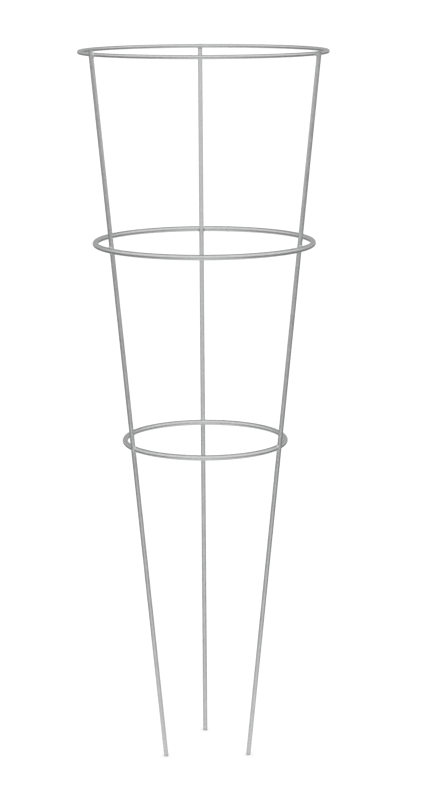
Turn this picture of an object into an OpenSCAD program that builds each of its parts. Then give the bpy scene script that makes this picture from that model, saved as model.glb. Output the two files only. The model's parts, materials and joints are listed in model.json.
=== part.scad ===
// Conical wire cage that holds up a tomato plant: three straight legs and three round hoops of drawn
// wire, pressed into each other and welded where they cross.
// Millimetres, +Z up, origin on the cage's axis at the ground. The back leg stands on +Y, and the left
// and right legs stand towards -Y.

/* [Cage] */
// Height from the ground to the top of the top ring
cage_h = 838; // [700:1:1200]
// Diameter of the circle through the leg axes at the ground
foot_circle_d = 114; // [60:1:200]
// Diameter of the circle through the leg axes at the top ring
top_circle_d = 291; // [220:1:480]

/* [Legs] */
// Diameter of the leg wire
leg_d = 5.2; // [3.5:0.1:8]
// Edge break that the shears leave round a cut end
end_break = 0.4; // [0.1:0.05:0.8]
// Height by which the cut top of the left leg stands above the top ring
left_leg_rise = 3.5; // [0:0.5:8]
// Height by which the cut tops of the right and back legs stand above the top ring
leg_rise = 0; // [0:0.5:8]

/* [Rings] */
// Diameter of the top ring's wire
top_wire_d = 4.5; // [3.5:0.1:8]
// Diameter of the middle ring's wire
middle_wire_d = 6.2; // [3.5:0.1:9]
// Diameter of the bottom ring's wire
bottom_wire_d = 6.2; // [3.5:0.1:9]
// Height of the middle ring's wire axis above the ground
middle_ring_z = 617; // [480:1:660]
// Height of the bottom ring's wire axis above the ground
bottom_ring_z = 383; // [200:1:440]
// Side of the legs on which the top ring lies
top_ring_side = "inside"; // [inside, outside]
// Side of the legs on which the middle ring lies
middle_ring_side = "outside"; // [inside, outside]
// Side of the legs on which the bottom ring lies
bottom_ring_side = "inside"; // [inside, outside]
// Depth to which the top ring and the legs are pressed into each other
top_set_down = 0.6; // [0.4:0.1:2]
// Depth to which the middle ring and the legs are pressed into each other
middle_set_down = 2; // [0.4:0.1:2.6]
// Depth to which the bottom ring and the legs are pressed into each other
bottom_set_down = 2.4; // [0.4:0.1:2.6]

/* [Welds] */
// Radius of the fillet that the weld metal forms in the corner between two wires
weld_fillet_r = 1.5; // [0.8:0.1:2.5]
// Distance along a leg by which a weld stops short of the cut top
weld_end_gap = 1.2; // [0.8:0.1:1.6]
// Height by which the butt weld that closes a hoop stands proud of its wire
seam_rise = 0.3; // [0.1:0.05:0.6]
// Turn from the back leg to the butt welds of the hoops, in degrees
seam_turn = 15; // [8:1:40]

/* [Hidden] */
wire_grey = [0.76, 0.77, 0.78];
weld_grey = [0.66, 0.67, 0.68];

leg_r = leg_d / 2;
foot_circle_r = foot_circle_d / 2;
top_circle_r = top_circle_d / 2;
top_ring_z = cage_h - top_wire_d / 2;

// Lean of a leg from upright
lean = atan((top_circle_r - foot_circle_r) / top_ring_z);
// Radius of the flat left inside the edge break of a cut end
end_flat_r = leg_r - end_break;
// Height by which a cut end that is square to its leaning wire is higher at one edge than at its middle,
// measured along the wire
end_slant = end_flat_r * tan(lean);

// Turns of the legs round the cage's axis: the back leg's own, and the step from each leg to the next
back_turn = 90;
leg_turn = 360 / 3;
// Each leg: its name, its turn and the height by which its cut top stands above the top ring
LEGS = [
    ["left", back_turn + leg_turn, left_leg_rise],
    ["right", back_turn - leg_turn, leg_rise],
    ["back", back_turn, leg_rise]
];
// Places of a leg's cut ends along its axis: the low edge of the foot touches the ground, and the high
// edge of the top is at the leg's full height
foot_end = end_slant;
function top_end(leg) = (cage_h + leg[2]) / cos(lean) - end_slant;

// Each ring: its name, its wire axis's height, its wire's diameter, its side of the legs and its set-down
RINGS = [
    ["top", top_ring_z, top_wire_d, top_ring_side, top_set_down],
    ["middle", middle_ring_z, middle_wire_d, middle_ring_side, middle_set_down],
    ["bottom", bottom_ring_z, bottom_wire_d, bottom_ring_side, bottom_set_down]
];
function ring_z(ring) = ring[1];
function wire_r(ring) = ring[2] / 2;
function ring_side(ring) = ring[3] == "outside" ? 1 : -1;
function set_down(ring) = ring[4];

// Distance between the axes of a leg and a ring wire that are pressed together by the set-down
function axis_gap(ring) = leg_r + wire_r(ring) - set_down(ring);
// Radius of the leg circle at a ring's height, and the ring's own radius, which seats it on the legs
function leg_circle_r(z) = foot_circle_r + z * tan(lean);
function ring_r(ring) = leg_circle_r(ring_z(ring)) + ring_side(ring) * axis_gap(ring) / cos(lean);
// Place of a crossing along its leg's axis
function crossing_s(ring) = (ring_r(ring) - foot_circle_r) * sin(lean) + ring_z(ring) * cos(lean);

// Columns of facets round a weld, and the places of their points, as shares of the fillet's radius along
// each wire and as shares of the way across the fillet's face
weld_columns = 36;
weld_seat_shares = [0.5, 1];
weld_face_shares = [0.25, 0.5, 0.75];
// How far a weld's face is filled out from a rolling ball's hollow towards a straight bevel
weld_fill_share = 0.35;
// Clearances that keep a weld's flat facets out of the leg, and out of the ring, which curves two ways
weld_leg_gap = 0.05;
weld_ring_gap = 0.18;
// Radius of the hollow that the weld metal leaves at the bottom of the corner
weld_root_r = 0.2;
// Size of the cut that trims a weld below its leg's cut top
weld_cut = 2 * (leg_d + max(top_wire_d, middle_wire_d, bottom_wire_d) + weld_fillet_r);

// Half-length of a hoop's butt weld: a ball proud of the wire meets the wire's surface there
function seam_ball_r(ring) = wire_r(ring) + seam_rise;
function seam_half(ring) = sqrt(pow(seam_ball_r(ring), 2) - pow(wire_r(ring), 2));

wire_fn = 96;
hoop_fn = 720;

// Places its children in a leg's own frame: Z runs up the leg's axis from the ground, X points outwards
module on_leg(leg) {
    rotate([0, 0, leg[1]])
        translate([foot_circle_r, 0, 0])
            rotate([0, lean, 0])
                children();
}

// Straight rod in a leg's own frame, with both sheared ends
module leg_rod(leg) {
    rod_l = top_end(leg) - foot_end;
    translate([0, 0, foot_end])
        rotate_extrude($fn = wire_fn)
            polygon([
                [0, 0],
                [end_flat_r, 0],
                [leg_r, end_break],
                [leg_r, rod_l - end_break],
                [end_flat_r, rod_l],
                [0, rod_l]
            ]);
}

// Round wire of a ring, all the way round
module ring_wire(ring) {
    translate([0, 0, ring_z(ring)])
        rotate_extrude($fn = hoop_fn)
            translate([ring_r(ring), 0])
                circle(r = wire_r(ring), $fn = wire_fn);
}

// Places its children at the butt weld of a ring, with Y along the wire
module at_seam(ring) {
    rotate([0, 0, back_turn - seam_turn])
        translate([ring_r(ring), 0, ring_z(ring)])
            children();
}

// Leg with the saddles that the rings press into it
module leg(leg) {
    color(wire_grey)
        difference() {
            on_leg(leg) leg_rod(leg);
            for (ring = RINGS) ring_wire(ring);
        }
}

// Hoop of bent wire, open where its ends are butt welded
module hoop(ring) {
    color(wire_grey)
        difference() {
            ring_wire(ring);
            at_seam(ring)
                cube(2 * [seam_ball_r(ring), seam_half(ring), seam_ball_r(ring)], center = true);
        }
}

// Upset metal of the butt weld between a hoop's two ends: the middle zone of a ball
module hoop_seam(ring) {
    color(weld_grey)
        at_seam(ring)
            rotate([90, 0, 0])
                rotate_extrude($fn = wire_fn)
                    intersection() {
                        circle(r = seam_ball_r(ring), $fn = wire_fn);
                        translate([0, -seam_half(ring)])
                            square([seam_ball_r(ring), 2 * seam_half(ring)]);
                    }
}

// A weld is worked out with the leg's axis along Z and the ring wire's axis along Y, one axis gap away
// along X. A ball rolls round the crossing on both wires: its centre lies one leg radius plus the ball's
// from the leg's axis, and one wire radius plus the ball's from the ring's. The smaller the ball, the
// closer it follows the curve in which the two wires meet.
function rolling_ball(ring, ball_r, turn) =
    let (
        leg_reach = leg_r + ball_r,
        ring_reach = wire_r(ring) + ball_r,
        x_low = axis_gap(ring) - ring_reach,
        x = (x_low + leg_reach) / 2 + (x_low - leg_reach) / 2 * cos(2 * turn),
        y = sqrt(max(0, pow(leg_reach, 2) - pow(x, 2))),
        z = sqrt(max(0, pow(ring_reach, 2) - pow(x - axis_gap(ring), 2)))
    )
    [x, sign(cos(turn)) * y, sign(sin(turn)) * z];

// Directions from the ball's centre to the two places where it touches the wires
function to_leg(centre, ball_r) = -[centre.x, centre.y, 0] / (leg_r + ball_r);
function to_ring(ring, centre, ball_r) =
    -[centre.x - axis_gap(ring), 0, centre.z] / (wire_r(ring) + ball_r);

// Step by which the ring's own curve carries its wire away from a straight line, at y from the crossing
function ring_bend(ring, y) =
    (sqrt(pow(ring_r(ring), 2) - pow(y, 2)) - ring_r(ring)) * [ring_side(ring) * cos(lean), 0, sin(lean)];

// Places where a ball touches the leg and the ring wire, less the clearances
function touch_leg(ring, ball_r, turn) =
    let (centre = rolling_ball(ring, ball_r, turn))
    centre + (ball_r - weld_leg_gap) * to_leg(centre, ball_r);
function touch_ring(ring, ball_r, turn) =
    let (centre = rolling_ball(ring, ball_r, turn))
    centre + (ball_r - weld_ring_gap) * to_ring(ring, centre, ball_r) + ring_bend(ring, centre.y);

// Place on the weld's face, part of the way from the leg to the ring wire, less the same clearances there
function weld_face(ring, share, turn) =
    let (
        centre = rolling_ball(ring, weld_fillet_r, turn),
        bevel = (1 - share) * to_leg(centre, weld_fillet_r) + share * to_ring(ring, centre, weld_fillet_r),
        hollow = bevel / norm(bevel),
        face = (1 - weld_fill_share) * hollow + weld_fill_share * bevel,
        clearance = (1 - share) * weld_leg_gap + share * weld_ring_gap
    )
    centre + (weld_fillet_r - clearance) * face + share * ring_bend(ring, centre.y);

// Section of a weld at one turn: out along the leg, across the face, in along the ring and to the root
function weld_section(ring, turn) =
    let (
        seats = len(weld_seat_shares),
        root = rolling_ball(ring, weld_root_r, turn)
    )
    concat(
        [for (share = weld_seat_shares) touch_leg(ring, share * weld_fillet_r, turn)],
        [for (share = weld_face_shares) weld_face(ring, share, turn)],
        [for (i = [1:seats]) touch_ring(ring, weld_seat_shares[seats - i] * weld_fillet_r, turn)],
        [root + ring_bend(ring, root.y) / 2]
    );

// Closed ring of weld metal: the sections at every turn, joined by facets
module weld_ring(ring) {
    sections = [for (i = [0:weld_columns - 1]) weld_section(ring, i * 360 / weld_columns)];
    rows = len(sections[0]);
    polyhedron(
        points = [for (section = sections) each section],
        faces = [
            for (i = [0:weld_columns - 1], j = [0:rows - 1])
                let (
                    a = i * rows,
                    b = (i + 1) % weld_columns * rows,
                    next = (j + 1) % rows
                )
                each [[a + j, a + next, b + next], [a + j, b + next, b + j]]
        ]
    );
}

// Fillet of weld metal round one crossing, open at the top where its leg ends
module weld(ring, leg) {
    color(weld_grey)
        on_leg(leg)
            difference() {
                translate([0, 0, crossing_s(ring)])
                    rotate([0, 0, ring_side(ring) > 0 ? 0 : 180])
                        weld_ring(ring);
                translate([-weld_cut / 2, -weld_cut / 2, top_end(leg) - weld_end_gap])
                    cube(weld_cut);
            }
}

for (leg = LEGS)
    leg(leg);
for (ring = RINGS)
    hoop(ring);
for (ring = RINGS)
    hoop_seam(ring);
for (ring = RINGS, leg = LEGS)
    weld(ring, leg);
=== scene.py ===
"""Tomato cage of welded galvanised wire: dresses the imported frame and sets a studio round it."""
import json
import math
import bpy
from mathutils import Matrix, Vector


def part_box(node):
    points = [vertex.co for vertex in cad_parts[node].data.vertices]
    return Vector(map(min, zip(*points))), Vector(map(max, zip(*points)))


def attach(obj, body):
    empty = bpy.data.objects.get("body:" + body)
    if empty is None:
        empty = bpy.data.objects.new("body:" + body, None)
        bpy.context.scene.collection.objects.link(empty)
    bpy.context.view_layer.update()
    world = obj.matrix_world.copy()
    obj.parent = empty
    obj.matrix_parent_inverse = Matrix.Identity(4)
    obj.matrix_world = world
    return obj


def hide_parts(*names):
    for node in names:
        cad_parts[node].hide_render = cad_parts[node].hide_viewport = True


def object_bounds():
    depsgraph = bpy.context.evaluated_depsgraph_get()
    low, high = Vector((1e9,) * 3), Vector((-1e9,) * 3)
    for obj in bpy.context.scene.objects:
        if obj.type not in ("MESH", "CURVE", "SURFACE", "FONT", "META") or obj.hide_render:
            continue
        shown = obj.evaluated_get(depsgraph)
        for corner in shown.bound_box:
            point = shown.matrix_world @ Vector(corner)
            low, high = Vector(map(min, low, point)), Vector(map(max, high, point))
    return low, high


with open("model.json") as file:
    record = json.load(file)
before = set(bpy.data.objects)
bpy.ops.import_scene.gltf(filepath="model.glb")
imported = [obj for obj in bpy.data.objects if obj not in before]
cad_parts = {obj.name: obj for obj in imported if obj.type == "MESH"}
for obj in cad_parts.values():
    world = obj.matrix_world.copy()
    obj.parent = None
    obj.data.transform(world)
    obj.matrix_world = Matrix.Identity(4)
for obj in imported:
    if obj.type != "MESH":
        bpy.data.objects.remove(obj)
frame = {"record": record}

from types import SimpleNamespace

import bpy
import numpy as np
from mathutils import Matrix

bl_info = {
    "name": "Tomato Cage",
    "version": (1, 0, 0),
    "blender": (4, 5, 0),
    "location": "View3D > Sidebar > Cage",
    "description": "Draws the cage's wires, hoops, welds and cut ends over its packed frame",
    "category": "Object",
}

CAD_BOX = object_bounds()
MOUNTS = {mount["name"]: mount for mount in frame["record"]["mounts"]}
LEG_NAMES = ("left", "right", "back")
RING_NAMES = ("top", "middle", "bottom")

MM = 0.001
FULL_TURN = 2 * math.pi
QUARTER_TURN = math.pi / 2
UPRIGHT = np.array((0.0, 0.0, 1.0))
WHITE = (1.0, 1.0, 1.0, 1.0)

# Grid counts: columns round a wire, and rows along each kind of piece
WIRE_COLUMNS = 56
LEG_ROWS = 560
CROSSING_ROWS = 60
FACE_ROWS = 9
CORNER_ROWS = 6
HOOP_ROWS = 960
SEAM_ROWS = 25
WELD_TURNS = 120
WELD_FACE_COLUMNS = 21
FLOOR_COLUMNS = 96

# Shares of the floor's radius at which its circles of points lie
FLOOR_CIRCLES = (0.01, 0.05, 0.25, 1.0)

# Angle between two faces from which the edge between them is sharp
SHARP_ANGLE = math.radians(38)

# Number of the first piece of each kind. A piece's number seeds its draws and shifts its patterns
FIRST_LEG, FIRST_HOOP, FIRST_SEAM, FIRST_WELD = 1, 5, 9, 13

# Waves in a ripple, and the shares of its wave between which their lengths are drawn
WAVES = 28
WAVE_SPREAD = (0.6, 1.6)

# Halvings in the search for a pressed surface
HALVINGS = 24

# Steepness of a bell that has faded at its reach
FADING = 2.0

# Legs: wire radii on each side of a crossing that have extra rows, edge breaks at each end that
# have none, and decimals of a metre that tell two rows apart
CROSSING_REACH = 3
END_CLEAR = 2
ROW_DECIMALS = 6

# Cut ends: length of the grain in the torn half, and its share in the tear and in the burr
GRAIN_WAVE = 0.9 * MM
TEAR_GRAIN, BURR_GRAIN = 0.3, 0.4

# Cut ends: steepness of the step to the torn half, the burr's width and the bare steel's reach as
# shares of the edge break, and the share of bare steel in the scraped zinc
TEAR_STEEPNESS = 4
BURR_WIDTH = 0.5
BARE_REACH = 2 / 3
SCRAPE_BARE = 0.7

# Closing welds: half-lengths to which the collar runs and over which its crest fades, lengths of
# the crest's and the collar's unevenness, and how uneven the collar is beside the crest
SEAM_OVERLAP = 1.1
CREST_REACH = 0.3
CREST_WAVE, COLLAR_WAVE = 4 * MM, 2 * MM
COLLAR_UNEVEN = 0.4

# Crossing welds: turn under the ring, and share of the ball that is left at an open weld's ends
UNDER_RING = 1.5 * math.pi
WELD_END = 0.3

# Crossing welds: lengths of the changes in size and of the lumps in the face, on a circle of
# radius 1, and share of the leg's radius by which the hidden columns lie below the wires' surfaces
SIZE_WAVE, LUMP_WAVE = 1.6, 1.1
HIDDEN_DEPTH = 0.25

# Patterns in the zinc: features a metre, with their detail and roughness
CLOUDS = {"scale": 55.0, "detail": 3.0}
LINES = {"scale": 2600.0, "detail": 2.0}
SCUFFS = {"scale": 420.0, "detail": 4.0, "roughness": 0.65}
PEEL = {"scale": 900.0, "detail": 3.0}
CRYSTALS = {"Scale": 800.0, "Smoothness": 0.25}

# Scales across and along the wire of the patterns that are drawn out along it
LINE_STRETCH = (1.0, 1.0, 0.02)
SCUFF_STRETCH = (1.0, 1.0, 0.12)

# How far each pattern dulls the zinc, and changes its tone, its gloss and its relief
DULLING = SimpleNamespace(heat=0.75, clouds=0.5, edges=(0.1, 1.0))
TONE = SimpleNamespace(clouds=0.08, scuffs=0.12, crystals=0.14, lines=0.1)
GLOSS = SimpleNamespace(dull=0.1, clouds=0.08, scuffs=0.16, crystals=0.1)
RELIEF = SimpleNamespace(lines=0.35, peel=0.4, scuffs=0.5)
BUMP = {"Strength": 0.35, "Distance": 0.03 * MM}

# Floor: features a metre of its cloud, how far that changes its tone, and its matt finish
FLOOR_CLOUD = 3.0
FLOOR_TONE = 0.01
FLOOR_FINISH = {"Roughness": 0.9, "Specular IOR Level": 0.0}

# Edges of the studio's bands. A heading is 1 straight to the front and -1 straight to the back,
# and a height is 1 straight up
AHEAD_EDGES = (0.1, 0.6)
BESIDE_EDGES = (-0.65, -0.25)
ROOF_EDGES = (0.35, 0.65)
HORIZON_EDGES = (-0.09, -0.01)

# Scale that lays a direction level and makes the camera's side of the cage positive
TO_FRONT = (1.0, -1.0, 0.0)

# Width of the camera's sensor in millimetres. The lens follows from it
SENSOR_WIDTH = 36.0

# Sockets of Blender's Mix node for colours
MIX_FACTOR, MIX_A, MIX_B, MIX_RESULT = 0, 6, 7, 2


class CageWireSizes(bpy.types.PropertyGroup):
    """Sizes of the small forms on the wires and welds."""

    end_break: bpy.props.FloatProperty(
        name="End break", description="Edge break that the shears leave round a cut end",
        default=0.4 * MM, min=0.0, precision=5, unit="LENGTH")
    tear_depth: bpy.props.FloatProperty(
        name="Tear depth", description="Depth of the torn half of a cut face below its smooth half",
        default=0.16 * MM, min=0.0, precision=5, unit="LENGTH")
    burr_height: bpy.props.FloatProperty(
        name="Burr height", description="Height of the lip on the inner rim of a cut end",
        default=0.1 * MM, min=0.0, precision=5, unit="LENGTH")
    scrape_reach: bpy.props.FloatProperty(
        name="Scrape reach", description="Distance from a cut end to which its zinc is scraped",
        default=1.6 * MM, min=0.0001, precision=4, unit="LENGTH")
    zinc_height: bpy.props.FloatProperty(
        name="Zinc height", description="Depth of the uneven runs in the zinc coat",
        default=0.03 * MM, min=0.0, precision=5, unit="LENGTH")
    zinc_wave: bpy.props.FloatProperty(
        name="Zinc wave", description="Length of the uneven runs in the zinc coat",
        default=9 * MM, min=0.001, precision=4, unit="LENGTH")
    heat_reach: bpy.props.FloatProperty(
        name="Heat reach", description="Distance from a weld at which its dull zone has faded",
        default=9 * MM, min=0.001, precision=4, unit="LENGTH")
    weld_fillet: bpy.props.FloatProperty(
        name="Weld fillet", description="Radius of the weld metal in the corner between two wires",
        default=1.5 * MM, min=0.0005, precision=4, unit="LENGTH")
    weld_fill: bpy.props.FloatProperty(
        name="Weld fill", description="How far a weld's face is filled out to a flat bevel",
        default=0.35, min=0.0, max=1.0, subtype="FACTOR")
    weld_uneven: bpy.props.FloatProperty(
        name="Weld unevenness", description="Share by which a weld's radius changes on its way",
        default=0.14, min=0.0, max=0.4, subtype="FACTOR")
    weld_sink: bpy.props.FloatProperty(
        name="Weld sink", description="Depth to which a weld's edges run into the wires",
        default=0.06 * MM, min=0.0, precision=5, unit="LENGTH")
    weld_end_gap: bpy.props.FloatProperty(
        name="Weld end gap", description="Distance by which a weld stops short of a leg's cut top",
        default=1.2 * MM, min=0.0, precision=4, unit="LENGTH")
    weld_run_out: bpy.props.FloatProperty(
        name="Weld run-out", description="Share of half an open weld over which it thins out",
        default=0.3, min=0.01, max=1.0, subtype="FACTOR")
    seam_flash: bpy.props.FloatProperty(
        name="Seam flash", description="Height of the uneven crest on a hoop's closing weld",
        default=0.06 * MM, min=0.0, precision=5, unit="LENGTH")
    seed: bpy.props.IntProperty(
        name="Seed", description="Start of the draws that make each wire's runs and marks its own",
        default=11)


class CageFinish(bpy.types.PropertyGroup):
    """Colours and gloss of the galvanised wire, the welds and the cut ends."""

    zinc: bpy.props.FloatVectorProperty(
        name="Zinc", description="Colour of the clean zinc coat",
        default=(0.76, 0.765, 0.77), min=0.0, max=1.0, subtype="COLOR", size=3)
    dull_zinc: bpy.props.FloatVectorProperty(
        name="Dull zinc", description="Colour of the zinc that a weld's heat has dulled",
        default=(0.62, 0.625, 0.63), min=0.0, max=1.0, subtype="COLOR", size=3)
    bare_steel: bpy.props.FloatVectorProperty(
        name="Bare steel", description="Colour of the steel that a cut lays bare",
        default=(0.42, 0.405, 0.39), min=0.0, max=1.0, subtype="COLOR", size=3)
    gloss_loss: bpy.props.FloatProperty(
        name="Roughness", description="Roughness of the clean zinc coat",
        default=0.4, min=0.0, max=1.0, subtype="FACTOR")


class CageStage(bpy.types.PropertyGroup):
    """The photograph's camera, the floor and the lights."""

    focal_px: bpy.props.FloatProperty(
        name="Focal length", description="Focal length in pixels of the 421 by 800 image",
        default=2140.5)
    image_height_px: bpy.props.FloatProperty(
        name="Image height", description="Height of the image in pixels", default=800.0)
    distance: bpy.props.FloatProperty(
        name="Distance", description="Level distance of the camera from the cage's axis",
        default=2.4629, unit="LENGTH")
    height: bpy.props.FloatProperty(
        name="Height", description="Height of the camera above the ground",
        default=0.94631, unit="LENGTH")
    sideways: bpy.props.FloatProperty(
        name="Sideways", description="Offset of the camera across its view",
        default=0.00646, unit="LENGTH")
    yaw: bpy.props.FloatProperty(
        name="Yaw", description="Turn of the camera round the cage's axis",
        default=math.radians(1.7255), subtype="ANGLE")
    pitch: bpy.props.FloatProperty(
        name="Pitch", description="Angle by which the camera looks down",
        default=0.20642, subtype="ANGLE")
    roll: bpy.props.FloatProperty(
        name="Roll", description="Turn of the camera about its own view",
        default=math.radians(-0.241), subtype="ANGLE")
    floor: bpy.props.FloatVectorProperty(
        name="Floor", description="Colour of the floor",
        default=(0.92, 0.92, 0.92), min=0.0, max=1.0, subtype="COLOR", size=3)
    floor_reach: bpy.props.FloatProperty(
        name="Floor reach", description="Radius of the floor", default=60.0, unit="LENGTH")
    backdrop_light: bpy.props.FloatProperty(
        name="Backdrop light", description="Brightness of the white behind the cage", default=1.0)
    floor_light: bpy.props.FloatProperty(
        name="Floor light", description="Brightness of the even light on matt surfaces",
        default=1.32)
    tent_light: bpy.props.FloatProperty(
        name="Tent light", description="Brightness of the tent's front and sides in the metal",
        default=0.86)
    back_light: bpy.props.FloatProperty(
        name="Back light", description="Brightness of the tent's back in the metal", default=0.5)
    far_light: bpy.props.FloatProperty(
        name="Far light", description="Brightness of the far floor to the front, in the metal",
        default=0.24)
    dark_light: bpy.props.FloatProperty(
        name="Dark light",
        description="Brightness of the far floor elsewhere and of the roof's back, in the metal",
        default=0.22)
    table_power: bpy.props.FloatProperty(
        name="Table power", description="Power of the lit table top that the metal mirrors",
        default=6.3, unit="POWER")
    table_width: bpy.props.FloatProperty(
        name="Table width", description="Size of the lit table top across the view",
        default=1.0, unit="LENGTH")
    table_length: bpy.props.FloatProperty(
        name="Table length", description="Size of the lit table top along the view",
        default=4.2, unit="LENGTH")
    table_drop: bpy.props.FloatProperty(
        name="Table drop", description="Depth of the lit table top below the floor",
        default=0.12, unit="LENGTH")


def unit(vectors):
    """Vectors divided by their own lengths."""
    return vectors / np.linalg.norm(vectors, axis=-1, keepdims=True)


def read_leg(name):
    """A leg as the frame gives it: the middle of its foot, its directions up the wire, outwards and
    round the cage, its wire's radius and the height of its cut top."""
    foot_mount = MOUNTS[name + "_foot"]
    foot = np.array(foot_mount["pos_m"])
    up = unit(-np.array(foot_mount["axis"]))
    radial = unit(foot * (1.0, 1.0, 0.0))
    out = unit(radial - (radial @ up) * up)
    return SimpleNamespace(
        name=name, foot=foot, up=up, radial=radial, out=out, across=np.cross(up, out),
        wire_r=MOUNTS[name + "_stake"]["dims"]["r_mm"] * MM,
        top_z=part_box(name + "_leg")[1].z)


def read_ring(name):
    """A ring as the frame gives it: its radius, height and wire radius from its box, and its
    closing weld's turn, rise and half-length from that weld's box. A ball that stands proud of the
    wire by the rise meets the wire's surface at the half-length."""
    low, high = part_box(name + "_ring")
    wire_r = (high.z - low.z) / 2
    seam_low, seam_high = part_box(name + "_ring_seam")
    seam = (seam_low + seam_high) / 2
    ball_r = (seam_high.z - seam_low.z) / 2
    return SimpleNamespace(
        name=name, wire_r=wire_r, radius=(high.x - low.x) / 2 - wire_r,
        height=(high.z + low.z) / 2, seam_turn=math.atan2(seam.y, seam.x),
        seam_rise=ball_r - wire_r, seam_half=math.sqrt(ball_r ** 2 - wire_r ** 2))


LEGS = [read_leg(name) for name in LEG_NAMES]
RINGS = [read_ring(name) for name in RING_NAMES]


def read_crossing(leg, ring):
    """Where a ring passes a leg: the place along the leg from its foot, the gap between the two
    wires' axes, and the ring's side of the leg, 1 for outside and -1 for inside."""
    middle = ring.radius * leg.radial + ring.height * UPRIGHT - leg.foot
    gap = middle @ leg.out
    return SimpleNamespace(along=middle @ leg.up, gap=abs(gap), side=math.copysign(1.0, gap))


def leg_length(leg, sizes):
    """Length of a leg between its two cut faces: the inner edge of the top face, which is square to
    the leaning wire, is the leg's highest point."""
    flat_r = leg.wire_r - sizes.end_break
    return (leg.top_z - leg.foot[2] - flat_r * abs(leg.out[2])) / leg.up[2]


def ripple(lay, wave, seed):
    """Smooth uneven heights from about -1 to 1 at places on the straightened wire: the sum of sine
    waves of about one length that run in directions drawn from the seed."""
    draw = np.random.default_rng(seed)
    heading = unit(draw.normal(size=(WAVES, 3))).T
    turns = heading / (wave * draw.uniform(*WAVE_SPREAD, WAVES))
    phase = draw.uniform(0.0, FULL_TURN, WAVES)
    return np.sin(FULL_TURN * (lay @ turns) + phase).sum(axis=-1) / math.sqrt(2 * WAVES)


def zinc_runs(lay, number, sizes):
    """Depths of the zinc coat's runs below its full thickness: a ripple moved to lie between
    nothing and the zinc height."""
    heights = np.clip(ripple(lay, sizes.zinc_wave, (sizes.seed, number, 0)), -1.0, 1.0)
    return sizes.zinc_height * (0.5 + 0.5 * heights)


def wire_columns():
    """Angles of the columns round a wire's section."""
    return np.linspace(0.0, FULL_TURN, WIRE_COLUMNS, endpoint=False)[None, :]


def wire_rays(theta, first, second):
    """Directions from a wire's axis: the cosine of theta along the first and its sine along the
    second of two directions across the wire."""
    return np.cos(theta)[..., None] * first + np.sin(theta)[..., None] * second


def wire_lay(radius, theta, along):
    """Places on a wire that has been straightened: round its section, and along its length."""
    around = radius * np.cos(theta), radius * np.sin(theta)
    return np.stack(np.broadcast_arrays(*around, along), axis=-1)


def wire_marks(lay, heat, cut, pole_lay, pole_heat, pole_cut):
    """Point attributes of a grid and its two poles: the place on the straightened wire, how much a
    weld's heat has dulled the zinc, and how far a cut has bared the steel."""
    return {
        "lay": np.concatenate([lay.reshape(-1, 3), pole_lay]),
        "heat": np.append(np.broadcast_to(heat, lay.shape[:2]), (pole_heat, pole_heat)),
        "cut": np.append(np.broadcast_to(cut, lay.shape[:2]), (pole_cut, pole_cut))}


def fade(distance, reach):
    """A bell that is 1 at no distance and has faded at the reach."""
    return np.exp(-FADING * (distance / reach) ** 2)


def mesh_piece(name, grid, marks, poles=(), loop_rows=False):
    """A mesh from a grid of points whose columns close round. Each four neighbours make a face. The
    rows close round too, or end in a fan of triangles about each of two poles. If the faces enclose
    a negative volume they are all turned over. marks are the point attributes, with the poles'
    values last."""
    rows, columns = grid.shape[:2]
    points = np.concatenate([grid.reshape(-1, 3), np.reshape(poles, (-1, 3))])
    index = np.arange(rows * columns).reshape(rows, columns)
    across = np.roll(index, -1, axis=1)
    if loop_rows:
        here, there = index, np.roll(index, -1, axis=0)
        here_across, there_across = across, np.roll(across, -1, axis=0)
    else:
        here, there = index[:-1], index[1:]
        here_across, there_across = across[:-1], across[1:]
    quads = np.stack([here, here_across, there_across, there], axis=-1).reshape(-1, 4)
    fans = np.empty((0, 3), dtype=int)
    if len(poles):
        first = np.full(columns, rows * columns)
        fans = np.concatenate([
            np.stack([first, across[0], index[0]], axis=-1),
            np.stack([first + 1, index[-1], across[-1]], axis=-1)])
    triangles = np.concatenate([quads[:, (0, 1, 2)], quads[:, (0, 2, 3)], fans])
    corners = points[triangles] - points.mean(axis=0)
    volume = np.einsum("ij,ij->", corners[:, 0], np.cross(corners[:, 1], corners[:, 2]))
    turn = slice(None, None, 1 if volume > 0 else -1)
    mesh = bpy.data.meshes.new(name)
    mesh.from_pydata(points.tolist(), [], quads[:, turn].tolist() + fans[:, turn].tolist())
    for key, values in marks.items():
        kind, field = ("FLOAT_VECTOR", "vector") if np.ndim(values) == 2 else ("FLOAT", "value")
        mesh.attributes.new(key, kind, "POINT").data.foreach_set(field, np.ravel(values))
    mesh.shade_smooth()
    mesh.set_sharp_from_angle(angle=SHARP_ANGLE)
    piece = bpy.data.objects.new(name, mesh)
    bpy.context.collection.objects.link(piece)
    return piece


def dress(piece, node, material):
    """Puts a piece in a node's place, on the cage's one body and its material."""
    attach(piece, "root")
    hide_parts(node)
    piece.data.materials.append(material)


def distance_to_axis(points, ring):
    """Distance of points from a ring's wire axis: off its circle in plan, and off its height."""
    off_circle = np.hypot(points[..., 0], points[..., 1]) - ring.radius
    return np.hypot(off_circle, points[..., 2] - ring.height)


def pressed_radius(radius, axis, rays, ring):
    """Radius of a leg's surface with a ring pressed into it. Where the round surface would lie
    inside the ring's wire, the ray from the leg's axis is halved until it ends on that wire."""
    near, far = np.zeros_like(radius), radius
    sunk = distance_to_axis(axis + radius[..., None] * rays, ring) < ring.wire_r
    for _ in range(HALVINGS):
        middle = (near + far) / 2
        inside = distance_to_axis(axis + middle[..., None] * rays, ring) < ring.wire_r
        near, far = np.where(inside, near, middle), np.where(inside, middle, far)
    return np.where(sunk, near, radius)


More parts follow.
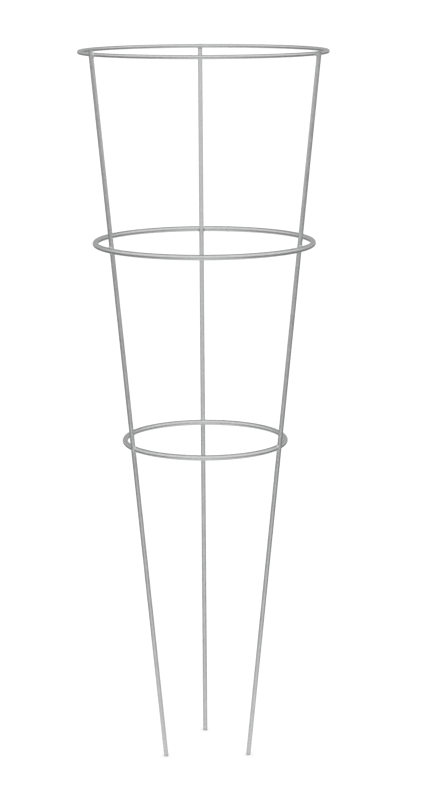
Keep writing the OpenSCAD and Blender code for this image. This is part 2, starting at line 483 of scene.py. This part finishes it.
def leg_profile(leg, crossings, sizes):
    """Places along a leg and radii of its profile. From the foot it runs out over the cut face,
    round the edge break, up the wire with rows drawn together at the rings, and over the top."""
    flat_r = leg.wire_r - sizes.end_break
    length = leg_length(leg, sizes)
    share = np.linspace(0.0, 1.0, FACE_ROWS + 1)[1:]
    corner = np.linspace(0.0, QUARTER_TURN, CORNER_ROWS)[1:]
    end_r = np.concatenate([flat_r * share, flat_r + sizes.end_break * np.sin(corner)])
    end_s = np.concatenate([np.zeros(FACE_ROWS), sizes.end_break * (1 - np.cos(corner))])
    reach = CROSSING_REACH * leg.wire_r
    close = [np.linspace(c.along - reach, c.along + reach, CROSSING_ROWS) for c in crossings]
    even = np.linspace(0.0, length, LEG_ROWS)
    body_s = np.unique(np.concatenate([even, *close]).round(ROW_DECIMALS))
    clear = END_CLEAR * sizes.end_break
    body_s = body_s[(body_s > clear) & (body_s < length - clear)]
    along = np.concatenate([end_s, body_s, length - end_s[::-1]])
    radius = np.concatenate([end_r, np.full(len(body_s), leg.wire_r), end_r[::-1]])
    return along[:, None], radius[:, None]


def leg_piece(leg, number, sizes):
    """A leg: its profile turned round the wire's straight axis, with the rings pressed into it.
    Half of each cut face is torn to a lower level, and its inner rim has a burr."""
    flat_r = leg.wire_r - sizes.end_break
    length = leg_length(leg, sizes)
    crossings = [read_crossing(leg, ring) for ring in RINGS]
    along, profile = leg_profile(leg, crossings, sizes)
    theta = wire_columns()
    lay = wire_lay(profile, theta, along + number)
    radius = profile - zinc_runs(lay, number, sizes) * (profile >= leg.wire_r)
    rays = wire_rays(theta, leg.out, leg.across)
    axis = leg.foot + along[..., None] * leg.up
    for ring in RINGS:
        radius = pressed_radius(radius, axis, rays, ring)

    inwards = np.where(along < length / 2, 1.0, -1.0)
    inner = -np.cos(theta)
    on_face = np.clip((flat_r - profile) / sizes.end_break, 0.0, 1.0)
    grain = ripple(lay, GRAIN_WAVE, (sizes.seed, number, 1))
    torn_half = 0.5 - 0.5 * np.tanh(TEAR_STEEPNESS * inner * profile / flat_r)
    tear = on_face * (torn_half + TEAR_GRAIN * grain)
    rim = np.exp(-((profile - flat_r) / (BURR_WIDTH * sizes.end_break)) ** 2)
    burr = rim * np.clip(inner, 0.0, 1.0) ** 2 * (1 + BURR_GRAIN * grain)
    relief = inwards * (sizes.tear_depth * tear - sizes.burr_height * burr)
    grid = axis + relief[..., None] * leg.up + radius[..., None] * rays

    heat = np.max([fade(along - c.along, sizes.heat_reach) for c in crossings], axis=0)
    bare = np.clip(1 - (profile - flat_r) / (BARE_REACH * sizes.end_break), 0.0, 1.0)
    scraped = fade(np.minimum(along, length - along), sizes.scrape_reach)
    cut = np.maximum(bare, SCRAPE_BARE * scraped)
    pole_s = np.array((0.0, length))
    marks = wire_marks(lay, heat, cut, wire_lay(0.0, 0.0, pole_s + number), 0.0, 1.0)
    half_torn = np.array((1.0, -1.0)) * sizes.tear_depth / 2
    poles = leg.foot + (pole_s + half_torn)[:, None] * leg.up
    return mesh_piece(leg.name + "_leg_wire", grid, marks, poles)


def hoop_piece(ring, number, sizes):
    """A hoop: the wire's round section carried round the ring's circle from one face of its closing
    weld to the other, and closed by a fan at each end."""
    half = ring.seam_half / ring.radius
    turn = ring.seam_turn + np.linspace(half, FULL_TURN - half, HOOP_ROWS)[:, None]
    theta = wire_columns()
    radial = np.stack([np.cos(turn), np.sin(turn), np.zeros_like(turn)], axis=-1)
    axis = ring.radius * radial + ring.height * UPRIGHT
    lay = wire_lay(ring.wire_r, theta, ring.radius * turn + number)
    radius = ring.wire_r - zinc_runs(lay, number, sizes)
    grid = axis + radius[..., None] * wire_rays(theta, radial, UPRIGHT)

    joins = [math.atan2(leg.foot[1], leg.foot[0]) for leg in LEGS] + [ring.seam_turn]
    away = [np.abs((turn - join + math.pi) % FULL_TURN - math.pi) for join in joins]
    heat = np.max([fade(angle * ring.radius, sizes.heat_reach) for angle in away], axis=0)
    marks = wire_marks(lay, heat, 0.0, np.zeros((2, 3)), 1.0, 0.0)
    return mesh_piece(ring.name + "_hoop_wire", grid, marks, axis[(0, -1), 0])


def seam_piece(ring, number, sizes):
    """A hoop's closing weld: a collar turned round the wire. Its profile is the zone of a ball that
    stands proud of the wire, with an uneven crest of flash round its middle."""
    step = np.linspace(-SEAM_OVERLAP, SEAM_OVERLAP, SEAM_ROWS)[:, None]
    theta = wire_columns()
    along = step * ring.seam_half
    profile = np.sqrt((ring.wire_r + ring.seam_rise) ** 2 - along ** 2)
    lay = wire_lay(profile, theta, along + number)
    rough = ripple(lay, CREST_WAVE, (sizes.seed, number, 0))
    flash = np.exp(-(step / CREST_REACH) ** 2) * (0.5 + 0.5 * rough)
    inside = 1 - (step / SEAM_OVERLAP) ** 2
    uneven = ripple(lay, COLLAR_WAVE, (sizes.seed, number, 1)) * inside
    radius = profile + sizes.seam_flash * (flash + COLLAR_UNEVEN * uneven)
    radial = np.array((math.cos(ring.seam_turn), math.sin(ring.seam_turn), 0.0))
    middle = ring.radius * radial + ring.height * UPRIGHT
    axis = middle + along[..., None] * np.cross(UPRIGHT, radial)
    grid = axis + radius[..., None] * wire_rays(theta, radial, UPRIGHT)
    marks = wire_marks(lay, 1.0, 0.0, np.zeros((2, 3)), 1.0, 0.0)
    return mesh_piece(ring.name + "_hoop_seam", grid, marks, axis[(0, -1), 0])


def rolling_ball(leg, ring, gap, ball_r, turn):
    """Centres of a ball that rolls round a crossing on both wires. The leg's axis lies along Z,
    the ring's along Y and the gap between them along X. At a turn t, x is low plus span times the
    square of sin t, where low is its least value and span its range. y is cos t times the root of
    span (leg reach + x), and z is sin t times the root of span (ring reach + gap - x)."""
    leg_reach, ring_reach = leg.wire_r + ball_r, ring.wire_r + ball_r
    low = gap - ring_reach
    span = leg_reach - low
    x = low + span * np.sin(turn) ** 2
    y = np.cos(turn) * np.sqrt(span * (leg_reach + x))
    z = np.sin(turn) * np.sqrt(span * (ring_reach + gap - x))
    return np.stack([x, y, z], axis=-1)


def weld_run(leg, ring, crossing, sizes):
    """Turns round a crossing at which a weld has its sections, each one's share of the full ball,
    and whether the run closes. Where a weld would come too near its leg's cut top it is left open:
    it runs under the ring and up both sides as high as the end gap allows, and thins out."""
    room = leg_length(leg, sizes) - sizes.weld_end_gap - crossing.along
    climb = np.linspace(0.0, QUARTER_TURN, WELD_TURNS)
    height = rolling_ball(leg, ring, crossing.gap, sizes.weld_fillet, climb)[:, 2]
    if height.max() < room:
        turn = np.linspace(0.0, FULL_TURN, WELD_TURNS, endpoint=False)
        return turn[:, None], np.ones((WELD_TURNS, 1)), True
    share = np.linspace(-1.0, 1.0, WELD_TURNS)
    turn = UNDER_RING + share * (QUARTER_TURN + np.interp(room, height, climb))
    ease = np.clip((1 - np.abs(share)) / sizes.weld_run_out, 0.0, 1.0)
    full = WELD_END + (1 - WELD_END) * np.sqrt(1 - (1 - ease) ** 2)
    return turn[:, None], full[:, None], False


def weld_piece(leg, ring, number, sizes):
    """A weld: the metal in the corner below a ball that rolls round the crossing. Its face runs
    between the two places where the ball touches the wires, is filled out towards a straight
    bevel, and follows the ring's own curve. Hidden columns inside the wires close each section."""
    crossing = read_crossing(leg, ring)
    turn, full, closed = weld_run(leg, ring, crossing, sizes)
    place = np.stack([np.cos(turn), np.sin(turn), np.full_like(turn, number)], axis=-1)
    uneven = sizes.weld_uneven * ripple(place, SIZE_WAVE, (sizes.seed, number, 0))
    ball_r = sizes.weld_fillet * full * (1 + uneven)
    centre = rolling_ball(leg, ring, crossing.gap, ball_r, turn)
    ball_r = ball_r[..., None]
    to_leg = -centre * (1.0, 1.0, 0.0) / (leg.wire_r + ball_r)
    from_ring = centre - (crossing.gap, 0.0, 0.0)
    to_ring = -from_ring * (1.0, 0.0, 1.0) / (ring.wire_r + ball_r)
    share = np.linspace(0.0, 1.0, WELD_FACE_COLUMNS)[None, :, None]
    bevel = (1 - share) * to_leg + share * to_ring
    filled = (1 - sizes.weld_fill) * unit(bevel) + sizes.weld_fill * bevel
    sink = sizes.weld_sink * (2 * share - 1) ** 2
    lumps = ripple(place + share, LUMP_WAVE, (sizes.seed, number, 1))[..., None]
    swell = sizes.weld_uneven * lumps * share * (1 - share)
    face = centre + (ball_r * (1 - swell) + sink) * filled

    deep = ball_r + HIDDEN_DEPTH * leg.wire_r
    hidden = centre + deep * np.concatenate([to_ring, to_leg + to_ring, to_leg], axis=1)
    shares = np.concatenate([share[0, :, 0], (1.0, 0.5, 0.0)])[None, :, None]
    bend = np.sqrt(ring.radius ** 2 - centre[..., 1:2] ** 2) - ring.radius
    over = np.array((crossing.side * leg.up[2], 0.0, abs(leg.out[2])))
    local = np.concatenate([face, hidden], axis=1) + shares * bend * over
    ends = (local[(0, -1), WELD_FACE_COLUMNS // 2] + local[(0, -1), -2]) / 2
    lay = np.concatenate([local.reshape(-1, 3), ends[:0 if closed else 2]])
    sideways = lay[:, :1] * leg.out + lay[:, 1:2] * leg.across
    points = leg.foot + (crossing.along + lay[:, 2:]) * leg.up + crossing.side * sideways
    count = local[..., 0].size
    grid = points[:count].reshape(local.shape)
    marks = {
        "lay": lay + number * UPRIGHT, "heat": np.ones(len(lay)), "cut": np.zeros(len(lay))}
    return mesh_piece(
        f"{ring.name}_{leg.name}_weld_bead", grid, marks, points[count:], closed)


def floor_piece(stage, height):
    """The floor: a flat disc of circles about the cage's axis, with one face in its middle."""
    turn = np.linspace(0.0, FULL_TURN, FLOOR_COLUMNS, endpoint=False)[None, :]
    reach = stage.floor_reach * np.array(FLOOR_CIRCLES)[:, None]
    x, y = reach * np.cos(turn), reach * np.sin(turn)
    points = np.stack([x, y, np.full_like(x, height)], axis=-1).reshape(-1, 3)
    index = np.arange(x.size).reshape(x.shape)
    across = np.roll(index, -1, axis=1)
    quads = np.stack([index[:-1], index[1:], across[1:], across[:-1]], axis=-1).reshape(-1, 4)
    mesh = bpy.data.meshes.new("floor")
    mesh.from_pydata(points.tolist(), [], quads.tolist() + [index[0].tolist()])
    floor = bpy.data.objects.new("floor", mesh)
    bpy.context.collection.objects.link(floor)
    return floor


class Shade:
    """One output of a material's nodes. Arithmetic on values adds Math nodes."""

    def __init__(self, nodes, socket):
        self.nodes = nodes
        self.socket = socket

    def _math(self, operation, first, second):
        return self.nodes.add("ShaderNodeMath", {"operation": operation}, {0: first, 1: second})

    def __add__(self, other):
        return self._math("ADD", self, other)

    def __radd__(self, other):
        return self._math("ADD", other, self)

    def __sub__(self, other):
        return self._math("SUBTRACT", self, other)

    def __rsub__(self, other):
        return self._math("SUBTRACT", other, self)

    def __mul__(self, other):
        return self._math("MULTIPLY", self, other)

    def __rmul__(self, other):
        return self._math("MULTIPLY", other, self)


class Nodes:
    """The nodes of one material or world, added one at a time."""

    def __init__(self, owner):
        owner.use_nodes = True
        self.tree = owner.node_tree
        self.tree.nodes.clear()

    def add(self, kind, settings, sockets, output=0):
        """Adds a node of a kind, with its settings first, then its sockets' values or links."""
        node = self.tree.nodes.new(kind)
        for name, value in settings.items():
            setattr(node, name, value)
        for key, value in sockets.items():
            if isinstance(value, Shade):
                self.tree.links.new(value.socket, node.inputs[key])
            else:
                node.inputs[key].default_value = value
        if not node.outputs:
            return None
        return Shade(self, node.outputs[output])

    def attribute(self, name, output):
        """A point attribute of the piece: its vector, or its value as Fac."""
        return self.add("ShaderNodeAttribute", {"attribute_name": name}, {}, output)

    def stretched(self, vector, scale):
        """A vector multiplied by a scale for each of its parts."""
        sockets = {0: vector, 1: scale}
        return self.add("ShaderNodeVectorMath", {"operation": "MULTIPLY"}, sockets)

    def noise(self, vector, scale, detail=2.0, roughness=0.5):
        """Smooth noise about 0, at so many features a metre."""
        sockets = {"Vector": vector, "Scale": scale, "Detail": detail, "Roughness": roughness}
        return self.add("ShaderNodeTexNoise", {}, sockets) - 0.5

    def crystals(self, vector):
        """Tones about 0, one to each frosted crystal of the zinc, blurred a little at its edges."""
        sockets = {"Vector": vector, **CRYSTALS}
        cells = self.add("ShaderNodeTexVoronoi", {"feature": "SMOOTH_F1"}, sockets, "Color")
        return self.add("ShaderNodeSeparateColor", {}, {"Color": cells}) - 0.5

    def toned(self, colour, tone):
        """A colour made lighter or darker by a tone about 0."""
        return self.add("ShaderNodeHueSaturation", {}, {"Value": tone + 1.0, "Color": colour})

    def mixed(self, factor, first, second):
        """A colour part of the way from the first to the second."""
        sockets = {MIX_FACTOR: factor, MIX_A: first, MIX_B: second}
        return self.add("ShaderNodeMix", {"data_type": "RGBA"}, sockets, MIX_RESULT)

    def stepped(self, value, low, high):
        """0 below low, 1 above high and a smooth step between."""
        sockets = {"Value": value, "From Min": low, "From Max": high}
        return self.add("ShaderNodeMapRange", {"interpolation_type": "SMOOTHSTEP"}, sockets)


def opaque(colour):
    """A colour with full alpha."""
    return (*colour, 1.0)


def zinc_material(name, finish):
    """Galvanised wire: zinc grey with soft clouds, frosted crystals and drawing lines along the
    wire, dull where a weld was hot and bare steel where it is cut."""
    material = bpy.data.materials.new(name)
    nodes = Nodes(material)
    lay = nodes.attribute("lay", "Vector")
    heat = nodes.attribute("heat", "Fac")
    cut = nodes.attribute("cut", "Fac")
    clouds = nodes.noise(lay, **CLOUDS)
    lines = nodes.noise(nodes.stretched(lay, LINE_STRETCH), **LINES)
    scuffs = nodes.noise(nodes.stretched(lay, SCUFF_STRETCH), **SCUFFS)
    crystals = nodes.crystals(lay)
    peel = nodes.noise(lay, **PEEL)

    dull = nodes.stepped(heat * DULLING.heat + clouds * DULLING.clouds, *DULLING.edges)
    tone = (clouds * TONE.clouds + scuffs * TONE.scuffs
            + crystals * TONE.crystals + lines * TONE.lines)
    lit = nodes.toned(opaque(finish.zinc), tone)
    zinc = nodes.mixed(dull, lit, opaque(finish.dull_zinc))
    colour = nodes.mixed(cut, zinc, opaque(finish.bare_steel))
    gloss_loss = (dull * GLOSS.dull + clouds * GLOSS.clouds + scuffs * GLOSS.scuffs
                  + crystals * GLOSS.crystals + finish.gloss_loss)
    relief = lines * RELIEF.lines + peel * RELIEF.peel + scuffs * RELIEF.scuffs
    bump = nodes.add("ShaderNodeBump", {}, {"Height": relief, **BUMP})
    surface = nodes.add("ShaderNodeBsdfPrincipled", {}, {
        "Base Color": colour, "Metallic": 1.0, "Roughness": gloss_loss, "Normal": bump})
    nodes.add("ShaderNodeOutputMaterial", {}, {"Surface": surface})
    return material


def floor_material(stage):
    """Matt pale floor with a faint cloud in its tone."""
    material = bpy.data.materials.new("pale_floor")
    nodes = Nodes(material)
    place = nodes.add("ShaderNodeTexCoord", {}, {}, "Object")
    colour = nodes.toned(opaque(stage.floor), nodes.noise(place, FLOOR_CLOUD) * FLOOR_TONE)
    surface = nodes.add("ShaderNodeBsdfPrincipled", {}, {"Base Color": colour, **FLOOR_FINISH})
    nodes.add("ShaderNodeOutputMaterial", {}, {"Surface": surface})
    return material


def studio_world(stage):
    """White behind the cage, an even light on matt surfaces, and in what the metal mirrors a tent.
    Above the horizon its front and sides are bright, its back is dimmer, and the back of its roof
    is dark. Below the horizon the far floor is dim, a little less so to the front."""
    world = bpy.data.worlds.new("pale_studio")
    nodes = Nodes(world)
    seen = nodes.add("ShaderNodeLightPath", {}, {}, "Is Camera Ray")
    matt = nodes.add("ShaderNodeLightPath", {}, {}, "Is Diffuse Ray")
    heading = nodes.add("ShaderNodeTexCoord", {}, {}, "Generated")
    height = nodes.add("ShaderNodeSeparateXYZ", {}, {"Vector": heading}, "Z")
    flat = nodes.stretched(heading, TO_FRONT)
    level = nodes.add("ShaderNodeVectorMath", {"operation": "NORMALIZE"}, {0: flat})
    facing = nodes.add("ShaderNodeSeparateXYZ", {}, {"Vector": level}, "Y")
    ahead = nodes.stepped(facing, *AHEAD_EDGES)
    beside = nodes.stepped(facing, *BESIDE_EDGES)
    roof = nodes.stepped(height, *ROOF_EDGES)
    back = roof * (stage.dark_light - stage.back_light) + stage.back_light
    tent = back + beside * (stage.tent_light - back)
    below = ahead * (stage.far_light - stage.dark_light) + stage.dark_light
    room = below + nodes.stepped(height, *HORIZON_EDGES) * (tent - below)
    strength = seen * (stage.backdrop_light - room) + matt * (stage.floor_light - room) + room
    sky = nodes.add("ShaderNodeBackground", {}, {"Color": WHITE, "Strength": strength})
    nodes.add("ShaderNodeOutputWorld", {}, {"Surface": sky})
    return world


def table_light(stage, height):
    """A lit table top: a flat soft light below the floor that faces up. The floor casts no shadow
    and isn't mirrored in the metal, so the light passes it. The camera doesn't see the light."""
    lamp = bpy.data.lights.new("table_light", "AREA")
    lamp.shape = "RECTANGLE"
    lamp.size, lamp.size_y = stage.table_width, stage.table_length
    lamp.energy = stage.table_power
    light = bpy.data.objects.new("table_light", lamp)
    place = Matrix.Translation((0.0, 0.0, height - stage.table_drop))
    light.matrix_world = place @ Matrix.Rotation(math.pi, 4, "X")
    light.visible_camera = False
    bpy.context.collection.objects.link(light)


def photo_camera(stage):
    """The photograph's camera: turned by its yaw round the cage's axis, tilted down and rolled."""
    camera = bpy.data.cameras.new("photo_camera")
    camera.sensor_width = SENSOR_WIDTH
    camera.lens = stage.focal_px / stage.image_height_px * SENSOR_WIDTH
    camera.clip_end = 2 * stage.floor_reach
    seat = bpy.data.objects.new("photo_camera", camera)
    place = Matrix.Translation((stage.sideways, -stage.distance, stage.height))
    tilt = Matrix.Rotation(QUARTER_TURN - stage.pitch, 4, "X") @ Matrix.Rotation(stage.roll, 4, "Z")
    seat.matrix_world = Matrix.Rotation(-stage.yaw, 4, "Z") @ place @ tilt
    bpy.context.collection.objects.link(seat)
    return seat


class CAGE_OT_draw_legs(bpy.types.Operator):
    """Draw the three straight leg wires, pressed at the rings and sheared at both ends"""

    bl_idname = "cage.draw_legs"
    bl_label = "Draw Legs"

    def execute(self, context):
        material = zinc_material("leg_zinc", context.scene.cage_finish)
        for number, leg in enumerate(LEGS, FIRST_LEG):
            piece = leg_piece(leg, number, context.scene.cage_wires)
            dress(piece, leg.name + "_leg", material)
        return {"FINISHED"}


class CAGE_OT_bend_hoops(bpy.types.Operator):
    """Bend the three hoops of wire"""

    bl_idname = "cage.bend_hoops"
    bl_label = "Bend Hoops"

    def execute(self, context):
        material = zinc_material("hoop_zinc", context.scene.cage_finish)
        for number, ring in enumerate(RINGS, FIRST_HOOP):
            piece = hoop_piece(ring, number, context.scene.cage_wires)
            dress(piece, ring.name + "_ring", material)
        return {"FINISHED"}


class CAGE_OT_close_hoops(bpy.types.Operator):
    """Close each hoop with the collar of its butt weld"""

    bl_idname = "cage.close_hoops"
    bl_label = "Close Hoops"

    def execute(self, context):
        material = zinc_material("seam_zinc", context.scene.cage_finish)
        for number, ring in enumerate(RINGS, FIRST_SEAM):
            piece = seam_piece(ring, number, context.scene.cage_wires)
            dress(piece, ring.name + "_ring_seam", material)
        return {"FINISHED"}


class CAGE_OT_weld_crossings(bpy.types.Operator):
    """Weld each hoop to each leg"""

    bl_idname = "cage.weld_crossings"
    bl_label = "Weld Crossings"

    def execute(self, context):
        material = zinc_material("weld_zinc", context.scene.cage_finish)
        pairs = [(leg, ring) for ring in RINGS for leg in LEGS]
        for number, (leg, ring) in enumerate(pairs, FIRST_WELD):
            piece = weld_piece(leg, ring, number, context.scene.cage_wires)
            dress(piece, f"{ring.name}_{leg.name}_weld", material)
        return {"FINISHED"}


class CAGE_OT_set_stage(bpy.types.Operator):
    """Lay the pale floor, and set the lights and the photograph's camera"""

    bl_idname = "cage.set_stage"
    bl_label = "Set Stage"

    def execute(self, context):
        stage = context.scene.cage_stage
        ground = CAD_BOX[0].z
        floor = floor_piece(stage, ground)
        floor.data.materials.append(floor_material(stage))
        floor.visible_glossy = False
        floor.visible_shadow = False

        table_light(stage, ground)
        context.scene.world = studio_world(stage)
        context.scene.camera = photo_camera(stage)
        context.scene.view_settings.view_transform = "Standard"
        return {"FINISHED"}


class CAGE_PT_sidebar(bpy.types.Panel):
    """The cage's sizes, finish, stage and steps"""

    bl_label = "Tomato Cage"
    bl_idname = "CAGE_PT_sidebar"
    bl_space_type = "VIEW_3D"
    bl_region_type = "UI"
    bl_category = "Cage"

    def draw(self, context):
        for key in GROUPS:
            group = getattr(context.scene, key)
            box = self.layout.box()
            for name in group.__annotations__:
                box.prop(group, name)
        for operator in OPERATORS:
            self.layout.operator(operator.bl_idname)


GROUPS = {"cage_wires": CageWireSizes, "cage_finish": CageFinish, "cage_stage": CageStage}
OPERATORS = (
    CAGE_OT_draw_legs, CAGE_OT_bend_hoops, CAGE_OT_close_hoops, CAGE_OT_weld_crossings,
    CAGE_OT_set_stage)


def register():
    """Registers the groups, the operators and the panel, and hangs the groups on the scene."""
    for made in (*GROUPS.values(), *OPERATORS, CAGE_PT_sidebar):
        bpy.utils.register_class(made)
    for name, group in GROUPS.items():
        setattr(bpy.types.Scene, name, bpy.props.PointerProperty(type=group))


def unregister():
    """Takes the groups off the scene and unregisters everything, last first."""
    for name in GROUPS:
        delattr(bpy.types.Scene, name)
    for made in (CAGE_PT_sidebar, *reversed(OPERATORS), *reversed(GROUPS.values())):
        bpy.utils.unregister_class(made)


def main():
    """Builds the cage and its stage."""
    register()
    bpy.ops.cage.draw_legs()
    bpy.ops.cage.bend_hoops()
    bpy.ops.cage.close_hoops()
    bpy.ops.cage.weld_crossings()
    bpy.ops.cage.set_stage()


if __name__ == "__main__":
    main()
